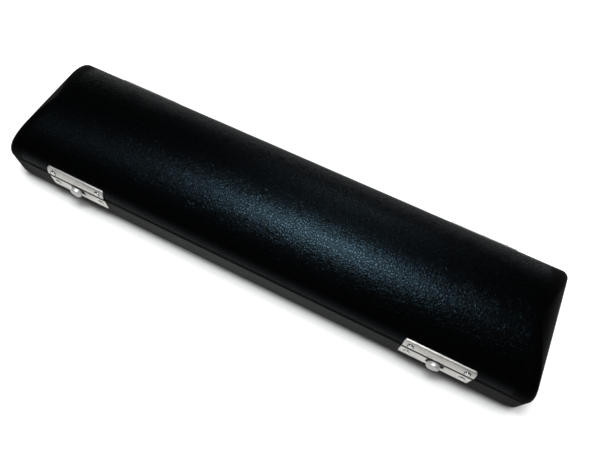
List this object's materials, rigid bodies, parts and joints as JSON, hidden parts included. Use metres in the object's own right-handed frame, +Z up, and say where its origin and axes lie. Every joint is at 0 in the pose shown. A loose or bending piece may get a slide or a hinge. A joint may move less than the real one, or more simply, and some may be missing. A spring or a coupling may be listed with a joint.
{
  "type": "flute case",
  "caption": "Slim hard case with an arched lid on two hinges, two sliding front latches and a plush-lined tray with long channels.",
  "frame": {"origin": "middle of the underside that lies on the table, midway between the case's ends and its front and back walls", "axes": "+X along the case to the right seen from the front, -Y to the front with the latches, +Z up"},
  "size_m": [0.4, 0.1043, 0.0467],
  "materials": {
    "leatherette": "black grained leatherette, semi-gloss",
    "wood_board": "bare board",
    "foam": "soft cellular foam",
    "plush": "deep blue cut pile",
    "brushed_nickel": "lengthwise brushed nickel plate",
    "polished_nickel": "polished nickel plate",
    "fastener_nickel": "nickel plated fasteners",
    "lock_steel": "plain zinc plated steel"
  },
  "bodies": {
    "base": {"base_core": "wood_board", "base_covering": "leatherette", "base_bottom_sheet": "leatherette", "tray_foam": "foam", "tray_lining": "plush", "channel_divider": "plush", "left_lock_plate": "brushed_nickel", "right_lock_plate": "brushed_nickel", "left_lock_housing": "lock_steel", "right_lock_housing": "lock_steel", "left_lock_spring": "lock_steel", "right_lock_spring": "lock_steel", "lock_plate_rivets": "fastener_nickel", "left_hinge_base_leaf": "brushed_nickel", "right_hinge_base_leaf": "brushed_nickel", "left_hinge_pin": "fastener_nickel", "right_hinge_pin": "fastener_nickel", "hinge_base_screws": "fastener_nickel"},
    "lid": {"lid_core": "wood_board", "lid_covering": "leatherette", "lid_foam": "foam", "lid_lining": "plush", "left_strike_plate": "brushed_nickel", "right_strike_plate": "brushed_nickel", "strike_plate_rivets": "fastener_nickel", "left_hinge_lid_leaf": "brushed_nickel", "right_hinge_lid_leaf": "brushed_nickel", "hinge_lid_screws": "fastener_nickel"},
    "left_bolt": {"left_lock_bolt": "lock_steel", "left_lock_knob": "polished_nickel"},
    "right_bolt": {"right_lock_bolt": "lock_steel", "right_lock_knob": "polished_nickel"}
  },
  "joints": [
    {"name": "lid_hinge", "type": "hinge", "parent": "base", "child": "lid", "pos_m": [0, 0.05, 0.0222], "axis": [-1, 0, 0], "range_deg": [0, 105]},
    {"name": "left_bolt_slide", "type": "slide", "parent": "base", "child": "left_bolt", "axis": [1, 0, 0], "range_m": [0, 0.0045], "stiffness_N_per_m": 120, "springref_m": -0.002, "deforming": ["left_lock_spring"]},
    {"name": "right_bolt_slide", "type": "slide", "parent": "base", "child": "right_bolt", "axis": [1, 0, 0], "range_m": [0, 0.0045], "stiffness_N_per_m": 120, "springref_m": -0.002, "deforming": ["right_lock_spring"]}
  ]
}
